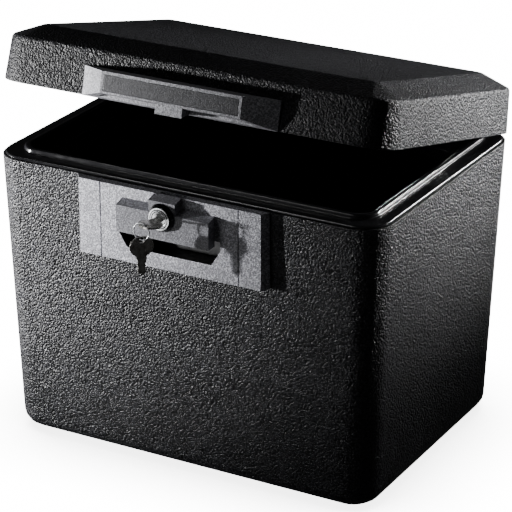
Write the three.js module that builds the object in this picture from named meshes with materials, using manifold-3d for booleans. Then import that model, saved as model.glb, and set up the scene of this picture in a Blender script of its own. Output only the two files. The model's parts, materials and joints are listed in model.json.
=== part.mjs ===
// Fireproof document box: a thick-walled file chest with a hinged lid, a cam lock and two keys.
// Millimetres, +Z up, front towards -Y. The base stands on z = 0 and the lid stands ajar at rest.

import * as THREE from "three";
import { mergeVertices } from "three/addons/utils/BufferGeometryUtils.js";
import Module from "manifold-3d";

// Main body
const GAP = 0.3;
const FOOT_HEIGHT = 3;
const FOOT_RADIUS = 13;
const FOOT_X = 103;
const FOOT_Y = 104;
const RIM_Z = 276.6;
const RIM_HALF_WIDTH = 196;
const RIM_HALF_DEPTH = 140.6;
const BOTTOM_HALF_WIDTH = 186.4;
const BOTTOM_HALF_DEPTH = 134.3;
const SHELL_CORNER = 27.4;
const SHELL_BOTTOM_ROUND = 15;
const SHELL_WALL = 2.6;
const FLANGE = 2;
const CORNER_STEPS = 6;

// Liner tub and the raised lip that runs round its mouth
const TUB_FLOOR_Z = 34;
const TUB_HALF_WIDTH = 155;
const TUB_HALF_DEPTH = 103;
const TUB_DRAFT = 4;
const TUB_WALL = 2.4;
const LEDGE_Z = 262;
const LIP_OUTSET = 16.2;
const LIP_INSET = 22.4;
const LIP_HEIGHT = 4;

// Lid
const LID_AJAR_DEG = 14.2;
const HINGE_Y = 148;
const HINGE_Z = 275.4;
const LID_Y = 0.5;
const LID_Z = 277.2;
const LID_SKIRT_Z = 274.6;
const LID_HALF_WIDTH = 196.7;
const LID_HALF_DEPTH = 141.3;
const LID_WALL_HEIGHT = 38.2;
const LID_WALL_INSET = 2.4;
const LID_CHAMFER_INSET = 26.9;
const LID_CHAMFER_HEIGHT = 12.1;
const LID_CORNER = 29;
const LID_CEILING_Z = 299;

// Lock plate, block and handle hood share one centre line
const LOCK_X = -4.4;
const PLATE_FRONT_Y = -148.8;
const PLATE_TOP_Z = 274.3;
const PLATE_BOTTOM_Z = 203.3;
const BLOCK_FRONT_Y = -160;
const LOCK_Z = 257.8;
const PLUG_FACE_Y = -165;
const CLAW_RADIUS = 22;
const CLAW_INNER_RADIUS = 18.7;
const RING_RADIUS = 7.8;
const RING_WIRE = 0.65;
const BOW_CENTRE_Y = -13;
const BOW_HALF_X = 11;
const BOW_HALF_Y = 9.5;
const BOW_HOLE_Y = -19;
const KEY_SHOULDER_Y = PLUG_FACE_Y - 0.6;

const wasm = await Module();
wasm.setup();

// ---------- Helpers ----------

// A geometry as a manifold solid, for joining and cutting.
function solid(geometry) {
  const bare = new THREE.BufferGeometry();
  const source = geometry.index ? geometry.toNonIndexed() : geometry;
  bare.setAttribute("position", source.getAttribute("position"));
  const merged = mergeVertices(bare, 1e-4);
  return new wasm.Manifold(
    new wasm.Mesh({
      numProp: 3,
      vertProperties: merged.attributes.position.array,
      triVerts: new Uint32Array(merged.index.array),
    }),
  );
}

function geometryOf(body) {
  const mesh = body.getMesh();
  const geometry = new THREE.BufferGeometry();
  const points = new Float32Array(mesh.numVert * 3);
  for (let i = 0; i < mesh.numVert; i++) {
    const start = i * mesh.numProp;
    points.set(mesh.vertProperties.subarray(start, start + 3), i * 3);
  }
  geometry.setAttribute("position", new THREE.BufferAttribute(points, 3));
  geometry.setIndex(new THREE.BufferAttribute(mesh.triVerts.slice(), 1));
  return geometry;
}

const join = (...parts) => geometryOf(wasm.Manifold.union(parts.map(solid)));
const cut = (body, ...tools) =>
  geometryOf(solid(body).subtract(wasm.Manifold.union(tools.map(solid))));

function box(x0, x1, y0, y1, z0, z1) {
  const geometry = new THREE.BoxGeometry(x1 - x0, y1 - y0, z1 - z0);
  return geometry.translate((x0 + x1) / 2, (y0 + y1) / 2, (z0 + z1) / 2);
}

function cylinderX(radius, x0, x1, y, z, steps = 32) {
  const geometry = new THREE.CylinderGeometry(radius, radius, x1 - x0, steps);
  return geometry.rotateZ(-Math.PI / 2).translate((x0 + x1) / 2, y, z);
}

function cylinderZ(radius, z0, z1, x, y, steps = 32) {
  const geometry = new THREE.CylinderGeometry(radius, radius, z1 - z0, steps);
  return geometry.rotateX(Math.PI / 2).translate(x, y, (z0 + z1) / 2);
}

// A cylinder or cone from y0 at the front to y1 at the back.
function cylinderY(frontRadius, y0, y1, x, z, steps = 48, backRadius = frontRadius) {
  const geometry = new THREE.CylinderGeometry(backRadius, frontRadius, y1 - y0, steps);
  return geometry.translate(x, (y0 + y1) / 2, z);
}

function shapeOf(points) {
  return new THREE.Shape(points.map(([a, b]) => new THREE.Vector2(a, b)));
}

function extrude(shape, depth) {
  return new THREE.ExtrudeGeometry(shape, {
    depth,
    bevelEnabled: false,
    curveSegments: 24,
  });
}

// (y, z) outline carried from x0 to x1.
function prismX(points, x0, x1) {
  const turn = new THREE.Matrix4().makeBasis(
    new THREE.Vector3(0, 1, 0),
    new THREE.Vector3(0, 0, 1),
    new THREE.Vector3(1, 0, 0),
  );
  return extrude(shapeOf(points), x1 - x0).applyMatrix4(turn).translate(x0, 0, 0);
}

// (x, z) outline carried from y0 at the front to y1 at the back.
function prismY(shape, y0, y1) {
  const outline = Array.isArray(shape) ? shapeOf(shape) : shape;
  return extrude(outline, y1 - y0).rotateX(Math.PI / 2).translate(0, y1, 0);
}

// (x, y) outline carried from z0 to z1.
function prismZ(shape, z0, z1) {
  const outline = Array.isArray(shape) ? shapeOf(shape) : shape;
  return extrude(outline, z1 - z0).translate(0, 0, z0);
}

// A rounded rectangle of points at one height, anticlockwise from above.
function ring(halfX, halfY, radius, z, centreY = 0) {
  const points = [];
  const centres = [
    [halfX - radius, halfY - radius, 0],
    [radius - halfX, halfY - radius, 1],
    [radius - halfX, radius - halfY, 2],
    [halfX - radius, radius - halfY, 3],
  ];
  for (const [x, y, quarter] of centres) {
    for (let i = 0; i <= CORNER_STEPS; i++) {
      const angle = ((quarter + i / CORNER_STEPS) * Math.PI) / 2;
      points.push([
        x + radius * Math.cos(angle),
        centreY + y + radius * Math.sin(angle),
        z,
      ]);
    }
  }
  return points;
}

// A closed skin through rings of points. Open ends are capped.
// A looped skin joins its last ring to its first.
function loft(rings, looped = false) {
  const positions = [];
  const face = (a, b, c) => positions.push(...a, ...b, ...c);
  const last = looped ? rings.length : rings.length - 1;
  for (let k = 0; k < last; k++) {
    const low = rings[k];
    const high = rings[(k + 1) % rings.length];
    for (let i = 0; i < low.length; i++) {
      const j = (i + 1) % low.length;
      face(low[i], low[j], high[j]);
      face(low[i], high[j], high[i]);
    }
  }
  if (!looped) {
    const cap = (points, up) => {
      const centre = [0, 1, 2].map(
        (axis) => points.reduce((sum, p) => sum + p[axis], 0) / points.length,
      );
      points.forEach((p, i) => {
        const q = points[(i + 1) % points.length];
        if (up) face(centre, p, q);
        else face(centre, q, p);
      });
    };
    cap(rings[0], false);
    cap(rings[rings.length - 1], true);
  }
  const geometry = new THREE.BufferGeometry();
  const data = new Float32Array(positions);
  return geometry.setAttribute("position", new THREE.BufferAttribute(data, 3));
}

// ---------- Materials ----------

const standard = (color, roughness, metalness = 0) =>
  new THREE.MeshStandardMaterial({ color, roughness, metalness });
const grainedBlack = standard(0x1b1b1d, 0.62);
const smoothBlack = standard(0x0d0d0e, 0.28);
const mineralFill = standard(0x9a948a, 0.95);
const plateGrey = standard(0x6d6e72, 0.55);
const darkGrey = standard(0x4b4c50, 0.5);
const sealRubber = standard(0x141414, 0.85);
const footRubber = standard(0x101010, 0.9);
const chromed = standard(0xd8d9dc, 0.14, 1);
const steel = standard(0x8d8f93, 0.38, 1);
const blackSteel = standard(0x202124, 0.42, 0.9);
const nickel = standard(0xb9b7ae, 0.22, 1);

const group = new THREE.Group();
group.name = "fireproof_document_box";
const base = new THREE.Group();
const lid = new THREE.Group();
group.add(base, lid);

function add(parent, name, geometry, material) {
  const mesh = new THREE.Mesh(geometry, material);
  mesh.name = name;
  parent.add(mesh);
  return mesh;
}

// ---------- Base shell, fill and liner ----------

// Rings of the tapered body, offset inwards, from its rounded underside up to a stated height.
function bodyRings(offset, topZ) {
  const rings = [];
  const at = (z, inset) => {
    const share = (z - FOOT_HEIGHT) / (RIM_Z - FOOT_HEIGHT);
    const halfX = BOTTOM_HALF_WIDTH + (RIM_HALF_WIDTH - BOTTOM_HALF_WIDTH) * share;
    const halfY = BOTTOM_HALF_DEPTH + (RIM_HALF_DEPTH - BOTTOM_HALF_DEPTH) * share;
    const corner = Math.max(SHELL_CORNER - inset, 3);
    rings.push(ring(halfX - inset, halfY - inset, corner, z));
  };
  const round = SHELL_BOTTOM_ROUND - offset;
  for (let k = 0; k <= 4; k++) {
    const angle = (k / 4) * (Math.PI / 2);
    const z = FOOT_HEIGHT + offset + round * (1 - Math.cos(angle));
    at(z, offset + round * (1 - Math.sin(angle)));
  }
  at(topZ, offset);
  return rings;
}

const shellTopZ = RIM_Z - FLANGE - GAP;
const shellOuter = loft(bodyRings(0, shellTopZ));
const shellKeepOut = loft(bodyRings(-GAP, RIM_Z + 20));

// The moulded pocket in the front wall that takes the back of the lock plate.
const pocketBox = (grow) =>
  box(
    LOCK_X - 60 - grow,
    LOCK_X + 60 + grow,
    -160,
    -124 + grow,
    212 - grow,
    266.5 + grow,
  );

// Screw positions: x offset from the hinge centre, height, and whether they are on the lid.
const HINGE_X = 110;
const SCREW_OFFSET = 20;
const BASE_SCREW_Z = 254;
const LID_SCREW_Z = 297;
const SCREW_HOLE = 1.8;
const hingeCentres = { left: -HINGE_X, right: HINGE_X };
const screwXs = (centre) => [centre - SCREW_OFFSET, centre + SCREW_OFFSET];
const allScrewXs = [...screwXs(-HINGE_X), ...screwXs(HINGE_X)];
const shellScrewHoles = (z) =>
  allScrewXs.map((x) => cylinderY(SCREW_HOLE, 128, 150, x, z, 16));

const shellInside = loft(bodyRings(SHELL_WALL, RIM_Z + 20));
const shellCavity = cut(shellInside, pocketBox(SHELL_WALL));
add(
  base,
  "base_shell",
  cut(shellOuter, pocketBox(0), shellCavity, ...shellScrewHoles(BASE_SCREW_Z)),
  grainedBlack,
);

const lipOuterX = RIM_HALF_WIDTH - LIP_OUTSET;
const lipOuterY = RIM_HALF_DEPTH - LIP_OUTSET;
const lipInnerX = RIM_HALF_WIDTH - LIP_INSET;
const lipInnerY = RIM_HALF_DEPTH - LIP_INSET;
// The flange lies inside the skirt that hangs from the lid's wall.
const flangeX = RIM_HALF_WIDTH - 2.3;
const flangeY = RIM_HALF_DEPTH - 2.7;
const flangeCorner = SHELL_CORNER - 2.5;
const tubBottomX = TUB_HALF_WIDTH - TUB_DRAFT;
const tubBottomY = TUB_HALF_DEPTH - TUB_DRAFT;

// The liner's hidden side, grown outwards by a clearance.
function linerBack(grow) {
  const wall = TUB_WALL + grow;
  return [
    ring(tubBottomX + wall - 5, tubBottomY + wall - 5, 14, TUB_FLOOR_Z - wall),
    ring(tubBottomX + wall, tubBottomY + wall, 19, TUB_FLOOR_Z - wall + 5),
    ring(TUB_HALF_WIDTH + wall, TUB_HALF_DEPTH + wall, 21, LEDGE_Z - wall),
    ring(lipInnerX + wall - 1.2, lipInnerY + wall - 1.2, 17, LEDGE_Z - wall),
    ring(lipInnerX + wall, lipInnerY + wall, 18, RIM_Z - FLANGE - grow),
  ];
}

const linerRings = [
  ...linerBack(0),
  ring(flangeX, flangeY, flangeCorner, RIM_Z - FLANGE),
  ring(flangeX, flangeY, flangeCorner, RIM_Z - 0.8),
  ring(flangeX - 0.8, flangeY - 0.8, flangeCorner - 0.8, RIM_Z),
  ring(lipOuterX, lipOuterY, 20, RIM_Z),
  ring(lipOuterX - 0.3, lipOuterY - 0.3, 19.7, RIM_Z + LIP_HEIGHT - 1),
  ring(lipOuterX - 1.2, lipOuterY - 1.2, 18.8, RIM_Z + LIP_HEIGHT),
  ring(lipInnerX + 1.2, lipInnerY + 1.2, 16.2, RIM_Z + LIP_HEIGHT),
  ring(lipInnerX + 0.2, lipInnerY + 0.2, 15.2, RIM_Z + LIP_HEIGHT - 1),
  ring(lipInnerX - 1.2, lipInnerY - 1.2, 14.6, LEDGE_Z),
  ring(TUB_HALF_WIDTH, TUB_HALF_DEPTH, 18.6, LEDGE_Z),
  ring(tubBottomX, tubBottomY, 16.6, TUB_FLOOR_Z + 5),
  ring(tubBottomX - 5, tubBottomY - 5, 11.6, TUB_FLOOR_Z),
];
add(base, "base_liner", loft(linerRings), smoothBlack);

const fillTopZ = shellTopZ - GAP;
const fillOutside = loft(bodyRings(SHELL_WALL + GAP, fillTopZ));
const linerKeepOut = loft([
  ...linerBack(GAP),
  ring(lipInnerX + TUB_WALL + GAP, lipInnerY + TUB_WALL + GAP, 18, RIM_Z + 20),
]);
add(
  base,
  "base_insulation",
  cut(fillOutside, linerKeepOut, pocketBox(SHELL_WALL + GAP)),
  mineralFill,
);

[
  ["foot_front_left", -1, -1],
  ["foot_front_right", 1, -1],
  ["foot_back_left", -1, 1],
  ["foot_back_right", 1, 1],
].forEach(([name, sideX, sideY]) => {
  const pad = cylinderZ(
    FOOT_RADIUS,
    0,
    FOOT_HEIGHT - GAP,
    sideX * FOOT_X,
    sideY * FOOT_Y,
    36,
  );
  add(base, name, pad, footRubber);
});

// ---------- Lock plate: grooved face, finger pocket and a pan behind it ----------

const CLAW_Y0 = -146.6;
const CLAW_Y1 = -144.1;
const plateSection = [
  [LOCK_X - 96.4, -138],
  [LOCK_X - 96.4, -141.6],
  [LOCK_X - 92.2, PLATE_FRONT_Y],
  [LOCK_X + 92.2, PLATE_FRONT_Y],
  [LOCK_X + 96.4, -141.6],
  [LOCK_X + 96.4, -138],
];
const plateSlab = cut(
  prismZ(plateSection, PLATE_BOTTOM_Z, PLATE_TOP_Z),
  shellKeepOut,
);
const panOutside = box(LOCK_X - 57.5, LOCK_X + 57.5, -143, -126.4, 214.6, 264);
const panInside = box(LOCK_X - 55.5, LOCK_X + 55.5, -141.4, -128.4, 216.6, 241);
const camRoom = box(LOCK_X - 12, LOCK_X + 24.5, -147.2, -128.4, 243, 262);
const fingerOpening = prismY(
  [
    [LOCK_X - 43, 217.6],
    [LOCK_X + 43, 217.6],
    [LOCK_X + 52, 232],
    [LOCK_X + 52, 241],
    [LOCK_X - 52, 241],
    [LOCK_X - 52, 232],
  ],
  -155,
  -140,
);
const groove = (x) =>
  box(x - 0.6, x + 0.6, -152, PLATE_FRONT_Y + 1.1, PLATE_BOTTOM_Z - 1, PLATE_TOP_Z + 1);
const clawSlot = box(LOCK_X - 9.5, LOCK_X + 15.2, -147.2, -141.9, 250, 280);
const clawSweep = cylinderY(CLAW_RADIUS + 0.8, -147.2, -141.9, LOCK_X, LOCK_Z, 48);
const nutHole = cylinderY(11, -155, -147, LOCK_X, LOCK_Z);
add(
  base,
  "lock_plate",
  cut(
    join(plateSlab, panOutside),
    panInside,
    camRoom,
    fingerOpening,
    groove(LOCK_X - 70),
    groove(LOCK_X + 70),
    clawSlot,
    join(
      box(LOCK_X, LOCK_X + 24.5, -147.2, -141.9, 243, 262),
      box(LOCK_X - 9.5, LOCK_X + 15.2, -147.2, -141.9, 255, 280),
    ),
    geometryOf(
      solid(clawSweep).intersect(
        solid(box(LOCK_X - 9.5, LOCK_X + 30, -150, -140, LOCK_Z - 14, PLATE_TOP_Z + 3)),
      ),
    ),
    nutHole,
  ),
  plateGrey,
);

// ---------- T-shaped lock block with its bar and the housing of the lock ----------

const BLOCK_BACK_Y = PLATE_FRONT_Y - GAP;
const barProfile = [
  [BLOCK_FRONT_Y, 236],
  [BLOCK_BACK_Y, 236],
  [BLOCK_BACK_Y, 264],
  [BLOCK_FRONT_Y, 261],
];
const housingProfile = [
  [BLOCK_FRONT_Y, 250],
  [BLOCK_BACK_Y, 250],
  [BLOCK_BACK_Y, PLATE_TOP_Z],
  [BLOCK_FRONT_Y, 271.8],
];
add(
  base,
  "lock_block",
  cut(
    join(
      prismX(barProfile, LOCK_X - 46.8, LOCK_X + 46.8),
      prismX(housingProfile, LOCK_X - 13.5, LOCK_X + 13.5),
    ),
    cylinderY(8.8, -170, -140, LOCK_X, LOCK_Z),
  ),
  plateGrey,
);

// ---------- Cam lock ----------

const BEZEL_BACK_Y = BLOCK_FRONT_Y - GAP;
const BARREL_BACK_Y = -147.1;
add(
  base,
  "lock_bezel",
  cut(
    join(
      cylinderY(10.6, PLUG_FACE_Y - 0.2, BEZEL_BACK_Y - 1, LOCK_X, LOCK_Z, 48, 13),
      cylinderY(13, BEZEL_BACK_Y - 1.001, BEZEL_BACK_Y, LOCK_X, LOCK_Z),
      cylinderY(8.5, -163, BARREL_BACK_Y, LOCK_X, LOCK_Z),
    ),
    cylinderY(7.1, -170, -140, LOCK_X, LOCK_Z),
  ),
  chromed,
);
add(
  base,
  "lock_nut",
  cut(
    cylinderY(10.4, PLATE_FRONT_Y, -147.2, LOCK_X, LOCK_Z, 6),
    cylinderY(8.6, -150, -146, LOCK_X, LOCK_Z),
  ),
  steel,
);
add(
  base,
  "lock_plug",
  cut(
    cylinderY(7, PLUG_FACE_Y, -146.9, LOCK_X, LOCK_Z),
    box(LOCK_X - 4.3, LOCK_X + 4.3, -170, -150, LOCK_Z - 1.2, LOCK_Z + 1.2),
    cylinderY(2, -149.5, -140, LOCK_X, LOCK_Z, 24),
  ),
  chromed,
);

// The claw cam lies to the right when unlocked; a quarter turn swings its claw up into the lid.
function clawShape() {
  const shape = new THREE.Shape();
  const polar = (radius, degrees) => {
    const angle = THREE.MathUtils.degToRad(degrees);
    return [radius * Math.cos(angle), radius * Math.sin(angle)];
  };
  const arc = (radius, from, to, steps) => {
    const points = [];
    for (let i = 0; i <= steps; i++) {
      points.push(polar(radius, from + ((to - from) * i) / steps));
    }
    return points;
  };
  const outline = [
    ...arc(CLAW_RADIUS, -32, 16.6, 10),
    ...arc(CLAW_INNER_RADIUS, 16.6, -10, 6),
    ...arc(7, 20, 300, 24),
  ];
  outline.forEach(([x, z], i) => {
    const point = [LOCK_X + x, LOCK_Z + z];
    if (i) shape.lineTo(...point);
    else shape.moveTo(...point);
  });
  return shape;
}
add(
  base,
  "lock_cam",
  cut(
    prismY(clawShape(), CLAW_Y0, CLAW_Y1),
    cylinderY(2.2, -150, -140, LOCK_X, LOCK_Z, 24),
  ),
  steel,
);
add(
  base,
  "cam_screw",
  join(
    cylinderY(3.4, CLAW_Y1 + 0.2, CLAW_Y1 + 1.9, LOCK_X, LOCK_Z, 32),
    cylinderY(1.8, -149, CLAW_Y1 + 0.5, LOCK_X, LOCK_Z, 24),
  ),
  steel,
);

// ---------- Keys and ring ----------

// Flat key in the (x, y) plane with its shoulder at y = 0 and its bow towards -y.
function keyShape(bladeLength, holeRadius, bites) {
  const outline = [];
  for (let degrees = 68; degrees >= -248; degrees -= 7.9) {
    const angle = THREE.MathUtils.degToRad(degrees);
    outline.push([
      BOW_HALF_X * Math.cos(angle),
      BOW_CENTRE_Y + BOW_HALF_Y * Math.sin(angle),
    ]);
  }
  outline.push([-4.4, -1], [-3.9, -0.4]);
  outline.push([-3.9, bladeLength - 3], [0, bladeLength], [2.4, bladeLength - 1.6]);
  for (const [along, depth] of bites.toReversed()) {
    outline.push([3.9 - depth, along]);
  }
  outline.push([3.9, -0.4], [4.4, -1]);
  const shape = shapeOf(outline.reverse());
  const hole = new THREE.Path();
  hole.absarc(0, BOW_HOLE_Y, holeRadius, 0, 2 * Math.PI, true);
  shape.holes.push(hole);
  return shape;
}
const BITES = [
  [1.5, 0],
  [3, 1.4],
  [4.6, 0.3],
  [6.2, 1.9],
  [7.8, 0.6],
  [9.4, 1.5],
  [10.8, 0.4],
];
const KEY_THICKNESS = 1.7;
const HOLE_RADIUS = 2.5;
const key = prismZ(
  keyShape(13.6, HOLE_RADIUS, BITES),
  -KEY_THICKNESS / 2,
  KEY_THICKNESS / 2,
).translate(LOCK_X, KEY_SHOULDER_Y, LOCK_Z);
add(base, "key", key, nickel);

// The ring passes diagonally through the bow's hole, so it stays clear whichever way the bow lies.
const diagonal = RING_RADIUS * Math.SQRT1_2;
const ringCentre = [LOCK_X - diagonal, KEY_SHOULDER_Y + BOW_HOLE_Y, LOCK_Z - diagonal];
const keyRing = new THREE.TorusGeometry(RING_RADIUS, RING_WIRE, 12, 64);
add(base, "key_ring", keyRing.rotateX(Math.PI / 2).translate(...ringCentre), steel);

// The spare hangs from the bottom of the ring, its face turned a little to the right.
const SPARE_TURN_DEG = 50;
const spare = prismZ(
  keyShape(13.6, HOLE_RADIUS, BITES),
  -KEY_THICKNESS / 2,
  KEY_THICKNESS / 2,
)
  .translate(0, -BOW_HOLE_Y, 0)
  .rotateX(-Math.PI / 2)
  .rotateZ(THREE.MathUtils.degToRad(SPARE_TURN_DEG));
spare.translate(ringCentre[0], ringCentre[1], ringCentre[2] - RING_RADIUS);
add(base, "spare_key", spare, nickel);

// ---------- Hinges ----------

const KNUCKLE_RADIUS = 5;
const PIN_RADIUS = 2;
const BORE_RADIUS = 2.08;
const LEAF_HALF = 30;
const hingeBore = (x) =>
  cylinderX(BORE_RADIUS, x - LEAF_HALF - 2, x + LEAF_HALF + 2, HINGE_Y, HINGE_Z);
const knuckle = (x0, x1) => cylinderX(KNUCKLE_RADIUS, x0, x1, HINGE_Y, HINGE_Z);

// ---------- Lid ----------

function lidRings(offset, bottomZ) {
  const rings = [];
  const at = (z, inset, corner) =>
    rings.push(
      ring(
        LID_HALF_WIDTH - inset,
        LID_HALF_DEPTH - inset,
        Math.max(corner, 2),
        z,
        LID_Y,
      ),
    );
  const share = (bottomZ - LID_Z) / LID_WALL_HEIGHT;
  at(bottomZ, offset + LID_WALL_INSET * share, LID_CORNER - offset);
  const crease = LID_Z + LID_WALL_HEIGHT;
  const chamferTop = crease + LID_CHAMFER_HEIGHT;
  at(crease - 2, offset + LID_WALL_INSET, LID_CORNER - offset - 2.4);
  at(crease + 0.6 - offset * 0.8, offset + LID_WALL_INSET + 1.4, LID_CORNER - offset - 4);
  const topInset = offset * 0.4 + LID_WALL_INSET + LID_CHAMFER_INSET;
  at(chamferTop - 0.5 - offset, topInset - 1.2, 6);
  at(chamferTop - offset, topInset + 1.5, 4);
  return rings;
}

const lidOuter = loft(lidRings(0, LID_SKIRT_Z));
const lidKeepOut = loft(lidRings(-GAP, LID_Z - 12));
const lidShellInside = loft(lidRings(SHELL_WALL, LID_Z - 12));
add(
  lid,
  "lid_shell",
  cut(lidOuter, lidShellInside, ...shellScrewHoles(LID_SCREW_Z)),
  grainedBlack,
);

const GROOVE_CLEARANCE = 1.6;
const grooveTopZ = RIM_Z + LIP_HEIGHT + GAP + 2.2;
const grooveOuterX = lipOuterX + GROOVE_CLEARANCE;
const grooveOuterY = lipOuterY + GROOVE_CLEARANCE;
const grooveInnerX = lipInnerX - GROOVE_CLEARANCE;
const grooveInnerY = lipInnerY - GROOVE_CLEARANCE;
const CEILING_HALF_WIDTH = 150;
const CEILING_HALF_DEPTH = 98;
const CAVITY_HALF_WIDTH = 158;
const CAVITY_HALF_DEPTH = 106;

const lidFlangeX = LID_HALF_WIDTH - SHELL_WALL - 0.4;
const lidFlangeY = LID_HALF_DEPTH - SHELL_WALL - 0.4;
const lidFlangeCorner = LID_CORNER - SHELL_WALL - 0.4;

// The visible underside of the lid, from its outer edge to the ceiling of its hollow.
const lidUnderside = [
  ring(lidFlangeX, lidFlangeY, lidFlangeCorner, LID_Z + 0.8, LID_Y),
  ring(lidFlangeX - 0.8, lidFlangeY - 0.8, lidFlangeCorner - 0.8, LID_Z, LID_Y),
  ring(grooveOuterX, grooveOuterY, 21.6, LID_Z),
  ring(grooveOuterX, grooveOuterY, 21.6, grooveTopZ),
  ring(grooveInnerX, grooveInnerY, 13.8, grooveTopZ),
  ring(grooveInnerX, grooveInnerY, 13.8, LID_Z),
  ring(CAVITY_HALF_WIDTH, CAVITY_HALF_DEPTH, 20, LID_Z),
  ring(CEILING_HALF_WIDTH, CEILING_HALF_DEPTH, 16, LID_CEILING_Z),
];
const flangeTopZ = LID_Z + FLANGE;

// The liner's hidden upper side, from its outer edge inwards.
function lidLinerBack(grow) {
  const wall = TUB_WALL + grow;
  return [
    ring(grooveOuterX + wall, grooveOuterY + wall, 21.6 + wall, flangeTopZ + grow),
    ring(grooveOuterX + wall, grooveOuterY + wall, 21.6 + wall, grooveTopZ + wall),
    ring(CAVITY_HALF_WIDTH + wall, CAVITY_HALF_DEPTH + wall, 22, grooveTopZ + wall),
    ring(CEILING_HALF_WIDTH + wall, CEILING_HALF_DEPTH + wall, 18, LID_CEILING_Z + wall),
  ];
}
const lidLinerRings = [
  ...lidUnderside.slice().reverse(),
  ring(lidFlangeX, lidFlangeY, lidFlangeCorner, flangeTopZ, LID_Y),
  ...lidLinerBack(0),
];
add(lid, "lid_liner", loft(lidLinerRings), smoothBlack);

const lidFillOutside = loft(lidRings(SHELL_WALL + GAP, flangeTopZ + GAP));
const lidLinerKeepOut = loft([
  ring(grooveOuterX + TUB_WALL + GAP, grooveOuterY + TUB_WALL + GAP, 24, LID_Z - 5),
  ...lidLinerBack(GAP).slice(1),
]);
add(lid, "lid_insulation", cut(lidFillOutside, lidLinerKeepOut), mineralFill);

const sealHalf = 3.6;
const sealMidX = (lipOuterX + lipInnerX) / 2;
const sealMidY = (lipOuterY + lipInnerY) / 2;
const sealRings = [
  [sealHalf, -GAP],
  [sealHalf, -1.9],
  [-sealHalf, -1.9],
  [-sealHalf, -GAP],
].map(([side, drop]) =>
  ring(sealMidX + side, sealMidY + side, 17.7 + side, grooveTopZ + drop),
);
add(lid, "lid_seal", loft(sealRings.reverse(), true), sealRubber);

// ---------- Handle hood, name plate and strike ----------

const LID_FRONT_Y = LID_Y - LID_HALF_DEPTH;
const HOOD_FRONT_Y = LID_FRONT_Y - 18.4;
const HOOD_TOP_Z = RIM_Z + 24.6;
const BOSS_FRONT_Y = HOOD_FRONT_Y + 0.6;
const HOOD_X = LOCK_X + 1.6;
const HOOD_HALF_WIDTH = 98;
const HOOD_FACE_HALF_WIDTH = 70;
const hoodSection = (inset) => [
  [HOOD_X - HOOD_HALF_WIDTH + inset * 1.6, LID_FRONT_Y + 6],
  [HOOD_X - HOOD_HALF_WIDTH + inset * 1.6, LID_FRONT_Y - 1],
  [HOOD_X - HOOD_FACE_HALF_WIDTH + inset * 0.6, HOOD_FRONT_Y + inset],
  [HOOD_X + HOOD_FACE_HALF_WIDTH - inset * 0.6, HOOD_FRONT_Y + inset],
  [HOOD_X + HOOD_HALF_WIDTH - inset * 1.6, LID_FRONT_Y - 1],
  [HOOD_X + HOOD_HALF_WIDTH - inset * 1.6, LID_FRONT_Y + 6],
];
const hoodBody = prismZ(hoodSection(0), RIM_Z - 8, HOOD_TOP_Z);
const hoodBevel = prismX(
  [
    [HOOD_FRONT_Y - 5, HOOD_TOP_Z - 2],
    [HOOD_FRONT_Y + 2, HOOD_TOP_Z + 1],
    [HOOD_FRONT_Y - 5, HOOD_TOP_Z + 1],
  ],
  HOOD_X - 102,
  HOOD_X + 102,
);
const hoodUndercut = prismX(
  [
    [LID_FRONT_Y + 8, RIM_Z - 20],
    [LID_FRONT_Y + 8, LID_SKIRT_Z],
    [LID_FRONT_Y - 1, LID_SKIRT_Z],
    [HOOD_FRONT_Y - 4, RIM_Z + 7],
    [HOOD_FRONT_Y - 4, RIM_Z - 20],
  ],
  HOOD_X - 110,
  HOOD_X + 110,
);
const fingerCavity = prismZ(
  [
    [HOOD_X - 80, LID_FRONT_Y - 5],
    [HOOD_X - 67, HOOD_FRONT_Y + 2.6],
    [HOOD_X + 67, HOOD_FRONT_Y + 2.6],
    [HOOD_X + 80, LID_FRONT_Y - 5],
  ],
  RIM_Z - 30,
  HOOD_TOP_Z - 3,
);
const bossProfile = [
  [BOSS_FRONT_Y, 272.7],
  [BLOCK_BACK_Y, 275.2],
  [LID_FRONT_Y - 0.6, 275.5],
  [LID_FRONT_Y - 0.6, HOOD_TOP_Z - 1],
  [BOSS_FRONT_Y, HOOD_TOP_Z - 1],
];
const boss = prismX(bossProfile, HOOD_X - 13.4, HOOD_X + 13.4);
const bossRoom = join(
  box(LOCK_X - 9.2, LOCK_X + 12, -148, -142.9, 270, 284.5),
  cylinderY(CLAW_RADIUS + 0.8, -148, -142.9, LOCK_X, LOCK_Z, 48),
);
const nameRecess = box(
  HOOD_X - 67.4,
  HOOD_X + 67.4,
  HOOD_FRONT_Y - 5,
  HOOD_FRONT_Y + 1.1,
  RIM_Z + 7.2,
  RIM_Z + 21.8,
);
add(
  lid,
  "lid_hood",
  cut(
    join(cut(hoodBody, hoodUndercut, fingerCavity, hoodBevel), boss),
    lidKeepOut,
    bossRoom,
    nameRecess,
  ),
  darkGrey,
);
add(
  lid,
  "name_plate",
  box(
    HOOD_X - 67.1,
    HOOD_X + 67.1,
    HOOD_FRONT_Y + 0.1,
    HOOD_FRONT_Y + 0.8,
    RIM_Z + 7.5,
    RIM_Z + 21.5,
  ),
  darkGrey,
);
add(
  lid,
  "strike",
  join(
    box(LOCK_X - 8.9, LOCK_X - 1, -146.9, -142.2, 272.5, 274.7),
    box(LOCK_X - 8.9, LOCK_X - 7.3, -146.9, -143.2, 273, 284),
  ),
  steel,
);

// ---------- Hinge leaves, pins and screws ----------

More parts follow.
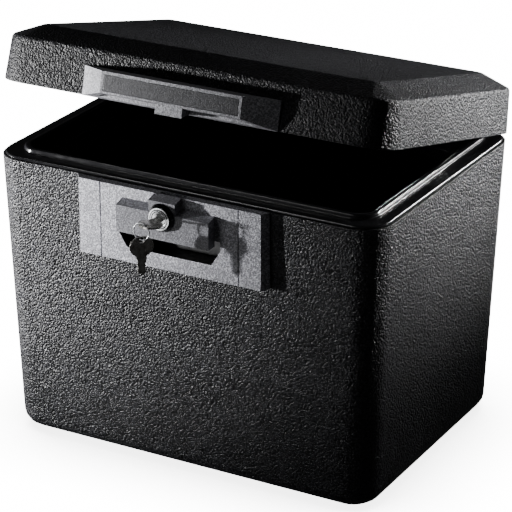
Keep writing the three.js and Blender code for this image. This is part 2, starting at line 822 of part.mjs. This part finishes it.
for (const [side, x] of Object.entries(hingeCentres)) {
  const ends = [
    [x - LEAF_HALF, x - 11],
    [x + 11, x + LEAF_HALF],
  ];
  const holes = (z) =>
    screwXs(x).map((sx) => cylinderY(SCREW_HOLE, 130, 160, sx, z, 16));
  const baseLeaf = cut(
    join(box(x - LEAF_HALF, x + LEAF_HALF, 138, 143.3, 242, 270)),
    shellKeepOut,
    ...holes(BASE_SCREW_Z),
  );
  const baseArms = ends.flatMap(([x0, x1]) => [
    knuckle(x0, x1),
    box(x0, x1, 141.2, HINGE_Y, 266, 274),
  ]);
  add(
    base,
    `hinge_base_leaf_${side}`,
    cut(join(baseLeaf, ...baseArms), hingeBore(x)),
    blackSteel,
  );
  const lidLeaf = cut(
    box(x - LEAF_HALF, x + LEAF_HALF, 136, 144.3, 282, 308),
    lidKeepOut,
    ...holes(LID_SCREW_Z),
  );
  const lidArm = cut(
    join(
      knuckle(x - 10.6, x + 10.6),
      box(x - 10.6, x + 10.6, 142.5, 146.5, HINGE_Z + 2, 284),
    ),
    lidKeepOut,
  );
  add(
    lid,
    `hinge_lid_leaf_${side}`,
    cut(join(lidLeaf, lidArm), hingeBore(x)),
    blackSteel,
  );
  add(
    base,
    `hinge_pin_${side}`,
    cylinderX(PIN_RADIUS, x - LEAF_HALF - 1, x + LEAF_HALF + 1, HINGE_Y, HINGE_Z),
    steel,
  );
  screwXs(x).forEach((sx, i) => {
    const screw = (z, face, tip) =>
      join(
        cylinderY(1.5, tip, face + 0.5, sx, z, 16),
        cylinderY(3.4, face + 0.2, face + 1.8, sx, z, 24, 2.6),
      );
    add(
      base,
      `hinge_base_screw_${side}_${i + 1}`,
      screw(BASE_SCREW_Z, 143.3, 138),
      steel,
    );
    add(
      lid,
      `hinge_lid_screw_${side}_${i + 1}`,
      screw(LID_SCREW_Z, 144.3, 138.6),
      steel,
    );
  });
}

// ---------- Lid stands ajar about the hinge line ----------

lid.position.set(0, HINGE_Y, HINGE_Z);
lid.rotation.x = THREE.MathUtils.degToRad(-LID_AJAR_DEG);
for (const piece of lid.children) {
  piece.geometry.translate(0, -HINGE_Y, -HINGE_Z);
}

// The origin is the centre of the bounding box's underside.
group.updateMatrixWorld(true);
const bounds = new THREE.Box3().setFromObject(group, true);
group.position.set(
  -(bounds.min.x + bounds.max.x) / 2,
  -(bounds.min.y + bounds.max.y) / 2,
  -bounds.min.z,
);
group.updateMatrixWorld(true);

export default group;
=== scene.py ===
import json
import math

import bmesh
import bpy
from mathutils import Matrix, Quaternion, Vector


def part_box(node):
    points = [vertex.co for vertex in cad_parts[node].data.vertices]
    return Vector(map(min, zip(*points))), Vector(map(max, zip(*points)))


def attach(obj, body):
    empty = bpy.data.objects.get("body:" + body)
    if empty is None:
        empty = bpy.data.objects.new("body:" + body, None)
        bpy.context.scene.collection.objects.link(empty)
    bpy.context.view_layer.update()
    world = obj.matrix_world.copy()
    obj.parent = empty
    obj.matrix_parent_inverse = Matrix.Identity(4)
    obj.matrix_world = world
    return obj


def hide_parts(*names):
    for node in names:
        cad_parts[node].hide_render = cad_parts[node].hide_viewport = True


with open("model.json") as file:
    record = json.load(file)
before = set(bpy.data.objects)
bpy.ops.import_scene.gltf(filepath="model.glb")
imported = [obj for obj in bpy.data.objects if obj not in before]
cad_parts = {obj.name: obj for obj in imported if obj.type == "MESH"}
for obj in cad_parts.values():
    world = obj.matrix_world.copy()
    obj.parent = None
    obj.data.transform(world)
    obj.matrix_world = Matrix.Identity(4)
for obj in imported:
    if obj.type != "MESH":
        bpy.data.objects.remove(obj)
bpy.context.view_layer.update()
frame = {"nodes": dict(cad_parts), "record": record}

nodes = frame["nodes"]
body_of = {n: b for b, names in frame["record"]["behaviour"]["bodies"].items() for n in names}
shell_low, shell_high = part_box("base_shell")
plate_low, plate_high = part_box("lock_plate")
bezel_low, bezel_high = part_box("lock_bezel")
lock_face = (bezel_low + bezel_high) / 2
lock_face.y = bezel_low.y
CENTRE_Y = (shell_low.y + shell_high.y) / 2
MM = 0.001


# ---------- Materials ----------


class Surface:
    """A material with a Principled shader and short ways to add texture nodes to it."""

    def __init__(self, name, color, roughness, metallic=0.0, specular=0.5):
        self.material = bpy.data.materials.new(name)
        self.material.use_nodes = True
        self.tree = self.material.node_tree
        self.shader = self.tree.nodes["Principled BSDF"]
        self.shader.inputs["Base Color"].default_value = (*color, 1)
        self.shader.inputs["Roughness"].default_value = roughness
        self.shader.inputs["Metallic"].default_value = metallic
        self.shader.inputs["Specular IOR Level"].default_value = specular
        self.material.diffuse_color = (*color, 1)
        self.position = self.add("ShaderNodeTexCoord").outputs["Object"]

    def add(self, kind, inputs=None, **settings):
        made = self.tree.nodes.new(kind)
        for key, value in settings.items():
            setattr(made, key, value)
        for key, value in (inputs or {}).items():
            if isinstance(value, bpy.types.NodeSocket):
                self.tree.links.new(value, made.inputs[key])
            else:
                made.inputs[key].default_value = value
        return made

    def noise(self, size, detail=2.0, roughness=0.5, where=None, out="Fac"):
        """Soft noise whose blotches are about size metres across."""
        made = self.add(
            "ShaderNodeTexNoise",
            {
                "Vector": where or self.position,
                "Scale": 1 / size,
                "Detail": detail,
                "Roughness": roughness,
            },
        )
        return made.outputs[out]

    def cells(self, size, where=None, feature="F1", out="Distance"):
        """Cells about size metres across: the distance to their middles, or their colours."""
        made = self.add(
            "ShaderNodeTexVoronoi",
            {"Vector": where or self.position, "Scale": 1 / size},
            feature=feature,
        )
        return made.outputs[out]

    def math(self, operation, a, b=0.0):
        made = self.add("ShaderNodeMath", operation=operation)
        for i, value in enumerate((a, b)):
            if isinstance(value, bpy.types.NodeSocket):
                self.tree.links.new(value, made.inputs[i])
            else:
                made.inputs[i].default_value = value
        return made.outputs[0]

    def span(self, value, low, high, start=0.35, end=0.65):
        """value, stretched so that start to end becomes low to high."""
        made = self.add(
            "ShaderNodeMapRange",
            {"Value": value, "From Min": start, "From Max": end, "To Min": low, "To Max": high},
        )
        return made.outputs["Result"]

    def tint(self, value, dark, light, start=0.35, end=0.65):
        """Colours the surface from dark to light as value goes from start to end."""
        ramp = self.add("ShaderNodeValToRGB", {"Fac": value})
        low, high = ramp.color_ramp.elements
        low.position, high.position = start, end
        low.color = (*dark, 1)
        high.color = (*light, 1)
        self.link(ramp.outputs["Color"], "Base Color")
        return self

    def link(self, value, socket):
        self.tree.links.new(value, self.shader.inputs[socket])
        return self

    def bump(self, *layers):
        """Layers of (height, depth in metres, strength), coarse to fine."""
        normal = None
        for height, depth, strength in layers:
            made = self.add(
                "ShaderNodeBump", {"Height": height, "Distance": depth, "Strength": strength}
            )
            if normal is not None:
                self.tree.links.new(normal, made.inputs["Normal"])
            normal = made.outputs["Normal"]
        self.tree.links.new(normal, self.shader.inputs["Normal"])
        return self


def pebbled(name, dark, light, roughness, size, depth, specular, strength=1.0):
    """Moulded plastic with a leather-like pebble grain.
    Its lighter pebble tops and light specks are painted sparkle; its patches are random tone.
    """
    s = Surface(name, dark, roughness, specular=specular)
    warp = s.noise(size * 1.25, 1.0, out="Color")
    shifted = s.add("ShaderNodeVectorMath", operation="MULTIPLY_ADD")
    s.tree.links.new(warp, shifted.inputs[0])
    shifted.inputs[1].default_value = (size * 0.8,) * 3
    s.tree.links.new(s.position, shifted.inputs[2])
    where = shifted.outputs[0]
    pebble = s.math("SUBTRACT", 1.0, s.cells(size, where, "SMOOTH_F1"))
    clumps = s.noise(size * 3.5, 3.0, 0.6)
    fine = s.noise(size * 0.35, 2.0, 0.6)
    patches = s.math("MULTIPLY", s.noise(0.02, 4.0), 0.22)
    # Lighter pebble tops and light specks are painted sparkle; the patches are random tone.
    painted_glints = s.math("MULTIPLY", s.cells(size * 0.8, None, "F1", "Color"), 0.5)
    tone_and_sparkle = s.math("ADD", s.math("MULTIPLY", pebble, 0.4), patches)
    tone_and_sparkle = s.math("ADD", tone_and_sparkle, painted_glints)
    s.tint(tone_and_sparkle, dark, light, 0.5, 0.82)
    s.link(s.span(clumps, roughness - 0.08, roughness + 0.1), "Roughness")
    s.bump(
        (clumps, depth * 0.8, 0.5 * strength),
        (pebble, depth, strength),
        (fine, depth * 0.2, 0.5 * strength),
    )
    return s.material


def smooth_plastic(name, dark, light, roughness, specular):
    """Glossy moulded plastic with faint flow ripples and dust."""
    s = Surface(name, dark, roughness, specular=specular)
    s.tint(s.noise(0.03, 4.0), dark, light)
    s.link(s.span(s.noise(0.006, 5.0, 0.65), roughness * 0.75, roughness * 1.5), "Roughness")
    s.bump((s.noise(0.012, 2.0), 0.00025, 0.35), (s.noise(0.0009, 2.0), 0.00002, 0.35))
    return s.material


SCRATCH = 0.0006


def cast_metal(name, dark, light, roughness):
    """Plated metal with fine scratches and small dull patches."""
    s = Surface(name, light, roughness, metallic=1.0)
    s.tint(s.noise(0.004, 5.0, 0.6), dark, light)
    stretched = s.add("ShaderNodeMapping", {"Vector": s.position, "Scale": (1.0, 1.0, 0.08)})
    lines = s.noise(SCRATCH, 4.0, 0.7, stretched.outputs["Vector"])
    s.link(s.span(lines, roughness * 0.7, roughness * 1.6), "Roughness")
    s.bump((lines, 0.00001, 0.6), (s.noise(0.003, 2.0), 0.00004, 0.3))
    return s.material


# The middle radius and half width of each dark ring, and where the dark wall starts.
# The rings and the wall are painted shade for a groove, the gap round the plug and the shaded
# side.
FACE_SHADE_RING = (0.0086, 0.0004)
PLUG_GAP_SHADE_RING = (0.0069, 0.00035)
SHADED_WALL_RADIUS = 0.0103
TURNS_PER_METRE = 14000.0


def turned_metal(name, dark, light, roughness, axis):
    """Plated metal turned about a lock's axis.
    Its two dark rings and dark outer wall are painted shade: colour only, with no shape under
    them."""
    s = Surface(name, light, roughness, metallic=1.0)
    apart = s.add("ShaderNodeSeparateXYZ", {"Vector": s.position})
    across = s.math("SUBTRACT", apart.outputs["X"], axis.x)
    up = s.math("SUBTRACT", apart.outputs["Z"], axis.z)
    squares = s.math("ADD", s.math("MULTIPLY", across, across), s.math("MULTIPLY", up, up))
    radius = s.math("SQRT", squares)
    # Painted shade: the two dark rings and the dark outer wall.
    painted_shade = s.math("GREATER_THAN", radius, SHADED_WALL_RADIUS)
    for middle_radius, half_width in (FACE_SHADE_RING, PLUG_GAP_SHADE_RING):
        off_middle = s.math("ABSOLUTE", s.math("SUBTRACT", radius, middle_radius))
        painted_shade = s.math("MAXIMUM", painted_shade, s.math("LESS_THAN", off_middle, half_width))
    blotches = s.span(s.noise(0.003, 4.0, 0.6), 0.75, 1.0)
    s.tint(s.math("SUBTRACT", blotches, s.math("MULTIPLY", painted_shade, 0.7)), dark, light, 0.2, 0.9)
    turning = s.math("SINE", s.math("MULTIPLY", radius, TURNS_PER_METRE))
    s.link(s.span(s.noise(0.002, 3.0), roughness * 0.7, roughness * 1.5), "Roughness")
    s.bump((turning, 0.00001, 0.5), (s.noise(0.003, 2.0), 0.00003, 0.3))
    return s.material


def rubber(name, dark, light):
    """Matt rubber with fine dust."""
    s = Surface(name, dark, 0.8, specular=0.3)
    s.tint(s.noise(0.01, 4.0), dark, light)
    s.link(s.span(s.noise(0.002, 3.0), 0.68, 0.92), "Roughness")
    s.bump((s.noise(0.0012, 3.0, 0.6), 0.00008, 0.8))
    return s.material


def mineral(name):
    """Foamed mineral fill: pale, chalky and full of pores."""
    s = Surface(name, (0.33, 0.3, 0.25), 0.95, specular=0.2)
    pores = s.cells(0.0035)
    s.tint(s.noise(0.009, 6.0, 0.65), (0.24, 0.21, 0.17), (0.42, 0.39, 0.33))
    s.bump((s.noise(0.012, 4.0), 0.0012, 0.7), (pores, 0.0008, 0.9))
    return s.material


LOOK = {
    "grained_shell": pebbled(
        "grained_shell", (0.001, 0.001, 0.0013), (0.045, 0.045, 0.052), 0.4, 0.0016, 0.0016, 0.34
    ),
    # The lid's plastic is the shell's made darker and less glossy: painted shade for the lid.
    "grained_lid_shaded_copy": pebbled(
        "grained_lid_shaded_copy", (0.001, 0.001, 0.0013), (0.022, 0.022, 0.0255), 0.42, 0.0016, 0.0013, 0.17
    ),
    "smooth_liner": smooth_plastic(
        "smooth_liner", (0.007, 0.007, 0.008), (0.013, 0.013, 0.014), 0.16, 0.5
    ),
    "plate_grey": pebbled(
        "plate_grey", (0.2, 0.2, 0.22), (0.66, 0.66, 0.72), 0.5, 0.0014, 0.0005, 0.35, 0.9
    ),
    "block_grey": pebbled(
        "block_grey", (0.13, 0.13, 0.144), (0.32, 0.32, 0.35), 0.46, 0.0013, 0.0004, 0.35, 0.8
    ),
    "hood_grey": pebbled(
        "hood_grey", (0.14, 0.14, 0.152), (0.44, 0.44, 0.475), 0.45, 0.0012, 0.0003, 0.4, 0.8
    ),
    "name_grey": pebbled(
        "name_grey", (0.022, 0.022, 0.025), (0.06, 0.06, 0.068), 0.45, 0.0012, 0.0002, 0.4, 0.7
    ),
    # The finger pocket's black is painted shade in the recess behind the lock bar.
    "pocket_painted_shade": smooth_plastic(
        "pocket_painted_shade", (0.008, 0.008, 0.009), (0.013, 0.013, 0.014), 0.45, 0.35
    ),
    "lock_chrome": turned_metal(
        "lock_chrome", (0.012, 0.012, 0.013), (0.8, 0.81, 0.83), 0.2, lock_face
    ),
    "key_nickel": cast_metal("key_nickel", (0.28, 0.27, 0.25), (0.78, 0.77, 0.73), 0.24),
    "black_steel": cast_metal("black_steel", (0.02, 0.02, 0.022), (0.045, 0.045, 0.05), 0.42),
    "bright_steel": cast_metal("bright_steel", (0.6, 0.61, 0.63), (0.8, 0.81, 0.83), 0.28),
    "seal_rubber": rubber("seal_rubber", (0.012, 0.012, 0.012), (0.02, 0.02, 0.02)),
    "foot_rubber": rubber("foot_rubber", (0.014, 0.014, 0.014), (0.024, 0.024, 0.024)),
    "mineral_fill": mineral("mineral_fill"),
}


# ---------- Meshes ----------


WELDS_PER_METRE = 2e5
FLAT_ANGLE = math.radians(0.6)
EDGE_ANGLE = math.radians(32)


def clean_mesh(node, name, inner=None, smooth=True):
    """A CAD node's solid as welded n-gons: its flat sides become single faces."""
    source = nodes[node].data
    made = bmesh.new()
    welded = {}

    def corner(index):
        place = source.vertices[index].co
        key = tuple(round(c * WELDS_PER_METRE) for c in place)
        if key not in welded:
            welded[key] = made.verts.new(place)
        return welded[key]

    for polygon in source.polygons:
        corners = [corner(i) for i in polygon.vertices]
        if len(set(corners)) == len(corners) and not made.faces.get(corners):
            made.faces.new(corners)
    bmesh.ops.dissolve_limit(
        made,
        angle_limit=FLAT_ANGLE,
        use_dissolve_boundaries=False,
        verts=made.verts,
        edges=made.edges,
    )
    bmesh.ops.recalc_face_normals(made, faces=made.faces)
    for face in made.faces:
        face.smooth = smooth
        if inner and inner(face.calc_center_median()):
            face.material_index = 1
    mesh = bpy.data.meshes.new(name)
    made.to_mesh(mesh)
    made.free()
    return mesh


def finished(node, look, bevel=0.5, segments=2, inner=None, smooth=True):
    """A piece that stands for one CAD node, with its moulded edges rounded by bevel mm.
    inner is a second look, and a test that tells which faces take it."""
    name = node + ".finish"
    piece = bpy.data.objects.new(name, clean_mesh(node, name, inner and inner[1], smooth))
    bpy.context.scene.collection.objects.link(piece)
    if bevel:
        rounding = piece.modifiers.new("edge rounding", "BEVEL")
        rounding.width = bevel * MM
        rounding.segments = segments
        rounding.limit_method = "ANGLE"
        rounding.angle_limit = EDGE_ANGLE
        rounding.use_clamp_overlap = True
        rounding.miter_outer = "MITER_ARC"
    if smooth:
        shading = piece.modifiers.new("even shading", "WEIGHTED_NORMAL")
        shading.keep_sharp = True
        shading.weight = 60
    piece.data.materials.append(LOOK[look])
    if inner:
        piece.data.materials.append(LOOK[inner[0]])
    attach(piece, body_of[node])
    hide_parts(node)
    return piece


openings = {o["name"]: o["box_m"] for o in frame["record"]["physics"]["openings"]}
pan_low, pan_high = map(Vector, openings["lock_bar_back_pocket"])
PAN_MARGIN = 0.0013
PAN_FLOOR = 0.0012
PLATE_SKIN = 0.0005


def in_pocket(place):
    """Whether a place lies in the finger pocket behind the lock bar, which is coloured black as
    painted shade.
    """
    return (
        pan_low.x - PAN_MARGIN < place.x < pan_high.x + PAN_MARGIN
        and plate_low.y + PLATE_SKIN < place.y < plate_high.y - PAN_FLOOR
        and pan_low.z - PAN_MARGIN < place.z < pan_high.z + PAN_MARGIN
    )


finished("base_shell", "grained_shell", 0.8)
finished("base_liner", "smooth_liner", 2.0, 5)
finished("lid_shell", "grained_lid_shaded_copy", 0.9, 3)
finished("lid_liner", "smooth_liner", 0.6)
finished("lid_seal", "seal_rubber", 0.5)
finished("lock_plate", "plate_grey", 0.35, smooth=False, inner=("pocket_painted_shade", in_pocket))
finished("lock_block", "block_grey", 0.6, 3, smooth=False)
finished("lid_hood", "hood_grey", 0.6, 3, smooth=False)
finished("name_plate", "name_grey", 0.3, smooth=False)
finished("lock_bezel", "lock_chrome", 0.3)
finished("lock_plug", "lock_chrome", 0.2)
finished("key", "key_nickel", 0.22)
finished("spare_key", "key_nickel", 0.22)
finished("key_ring", "bright_steel", 0)
for side in ("left", "right"):
    for end in ("front", "back"):
        finished(f"foot_{end}_{side}", "foot_rubber", 0.5)
    finished(f"hinge_base_leaf_{side}", "black_steel", 0.3)
    finished(f"hinge_lid_leaf_{side}", "black_steel", 0.3)
    finished(f"hinge_pin_{side}", "bright_steel", 0.3)
    for which in (1, 2):
        for leaf in ("base", "lid"):
            finished(f"hinge_{leaf}_screw_{side}_{which}", "black_steel", 0.2)

# The fill stops a little lower than its CAD solid, so the narrow gap at the rim stays dark.
fill = finished("base_insulation", "mineral_fill", 0.6)
fill_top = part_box("base_insulation")[1].z
FILL_DROP = 0.003
for point in fill.data.vertices:
    if point.co.z > fill_top - 0.5 * MM:
        point.co.z -= FILL_DROP

for node, look in (
    ("lid_insulation", "mineral_fill"),
    ("lock_nut", "bright_steel"),
    ("lock_cam", "bright_steel"),
    ("cam_screw", "bright_steel"),
    ("strike", "bright_steel"),
):
    carried = nodes[node].data
    carried.materials.clear()
    carried.materials.append(LOOK[look])


# ---------- Stage, light and camera ----------


FLOOR_GLOW = 16.0
SHADED_GLOW = FLOOR_GLOW * 0.3
SHADOW_REACH = 0.09


def stage_floor():
    """Glowing white paper that lights nothing. Its shade round the box is ambient occlusion."""
    bpy.ops.mesh.primitive_circle_add(vertices=96, radius=14, fill_type="NGON")
    floor = bpy.context.object
    floor.name = "floor"
    paper = Surface("floor_paper", (0.86, 0.86, 0.86), 0.9, specular=0.1)
    paper.tint(paper.noise(0.7, 2.0), (0.85, 0.85, 0.85), (0.87, 0.87, 0.87))
    paper.shader.inputs["Emission Color"].default_value = (1, 1, 1, 1)
    near = paper.add("ShaderNodeAmbientOcclusion", {"Distance": SHADOW_REACH}, samples=8)
    glow = paper.span(near.outputs["AO"], SHADED_GLOW, FLOOR_GLOW, 0.45, 1.0)
    paper.link(glow, "Emission Strength")
    floor.data.materials.append(paper.material)
    floor.visible_glossy = False
    floor.visible_diffuse = False


def aimed(made, azimuth, elevation, distance, target):
    """Puts a light where azimuth 0 is straight in front and positive is to the right."""
    a, e = math.radians(azimuth), math.radians(elevation)
    out = Vector((math.sin(a) * math.cos(e), -math.cos(a) * math.cos(e), math.sin(e)))
    made.location = target + out * distance
    made.rotation_euler = out.to_track_quat("Z", "Y").to_euler()
    made.visible_camera = False
    bpy.context.scene.collection.objects.link(made)
    return made


def beam(name, azimuth, elevation, distance, angle, radius, power, target, squeeze=1, roll=0):
    """A lamp whose beam fades smoothly to its edge, squeezed to an ellipse and rolled."""
    lamp = bpy.data.lights.new(name, "SPOT")
    lamp.spot_size = math.radians(angle)
    lamp.spot_blend = 1.0
    lamp.shadow_soft_size = radius
    lamp.energy = power
    made = aimed(bpy.data.objects.new(name, lamp), azimuth, elevation, distance, target)
    turn = Quaternion((0, 0, 1), math.radians(roll))
    made.rotation_euler = (made.rotation_euler.to_quaternion() @ turn).to_euler()
    made.scale = (squeeze, 1, 1)
    return made


def soft_light(name, azimuth, elevation, distance, size, power, target, tall=None):
    """A square or tall soft box aimed at target."""
    lamp = bpy.data.lights.new(name, "AREA")
    lamp.shape = "RECTANGLE"
    lamp.size = size
    lamp.size_y = tall or size
    lamp.energy = power
    return aimed(bpy.data.objects.new(name, lamp), azimuth, elevation, distance, target)


middle = Vector((0, CENTRE_Y, 0.2))
stage_floor()
left_front = Vector((shell_low.x - 0.17, shell_low.y, 0.235))
right_rim = Vector((shell_high.x, CENTRE_Y, shell_high.z))
right_back = Vector((shell_high.x, shell_high.y + 0.04, 0.42))
# Narrow beams light parts of the box, and the soft boxes only pick out lines on it.
beam("key", -61, -1.5, 2.6, 12.6, 0.1, 2950, left_front, 0.71)
beam("right", 137, 2, 2.6, 11.2, 0.14, 2250, right_back)
beam("rim", 158, 22, 2.6, 8, 0.2, 1000, right_rim, 0.3, 47)
soft_light("lip line", -47, 54, 2.6, 0.8, 5, middle, 0.1)
soft_light("rim line", 158, 22, 2.6, 0.35, 8, right_rim, 0.8)
soft_light("lock card", -29, -22, 0.5, 0.22, 0.35, lock_face)

world = bpy.data.worlds.new("studio")
world.use_nodes = True
world.node_tree.nodes["Background"].inputs["Color"].default_value = (0.9, 0.9, 0.92, 1)
world.node_tree.nodes["Background"].inputs["Strength"].default_value = 0.025
bpy.context.scene.world = world

lens = bpy.data.cameras.new("camera")
lens.sensor_width = 36
lens.lens = 177.59
lens.shift_x = 0.0026
lens.shift_y = -0.0037
lens.clip_end = 100
camera = bpy.data.objects.new("camera", lens)
look_at = Vector((-0.00125, CENTRE_Y, 0.16576))
camera.location = Vector((1.0568, CENTRE_Y - 1.89465, 1.0725))
camera.rotation_euler = (camera.location - look_at).to_track_quat("Z", "Y").to_euler()
bpy.context.scene.collection.objects.link(camera)
bpy.context.scene.camera = camera

bpy.context.view_layer.update()
